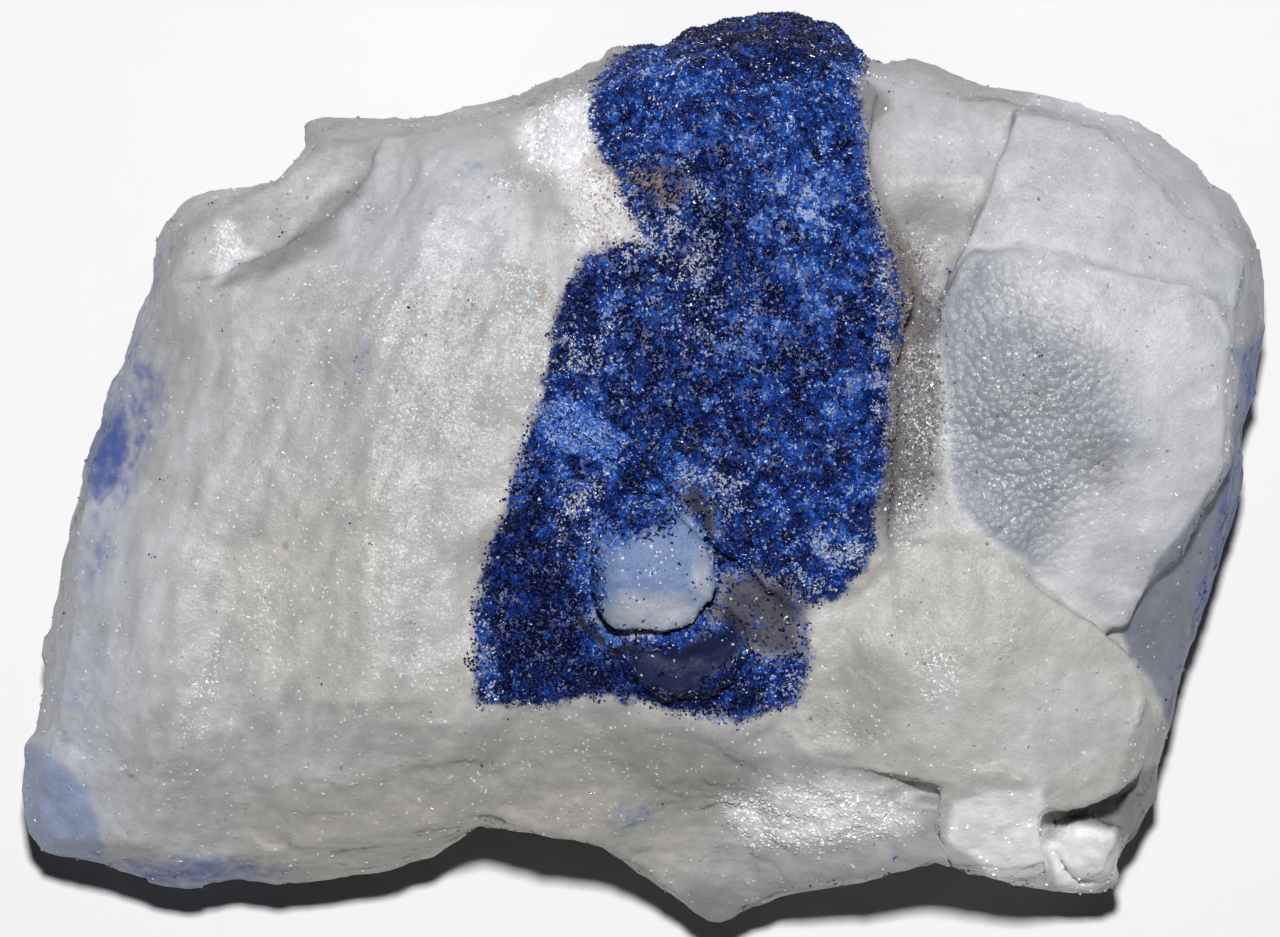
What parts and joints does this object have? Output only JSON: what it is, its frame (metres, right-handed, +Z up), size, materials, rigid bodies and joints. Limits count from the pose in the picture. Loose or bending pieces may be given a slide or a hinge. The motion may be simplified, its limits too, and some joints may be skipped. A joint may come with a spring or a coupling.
{
  "type": "dumortierite specimen",
  "caption": "Broken hand specimen of milky grey quartz crossed by a granular deep blue dumortierite vein, lying on a flat sole.",
  "frame": {"origin": "centre of the footprint, on the surface the rock rests on", "axes": "+Z up out of the broken face that shows the blue vein, +X along the long way of the rock, +Y towards the end where the vein stands highest"},
  "size_m": [0.0459, 0.0336, 0.016],
  "materials": {
    "vein_quartz": "milky broken quartz with a blue granular vein"
  },
  "bodies": {
    "root": {"dumortierite_specimen": "vein_quartz"}
  },
  "joints": []
}
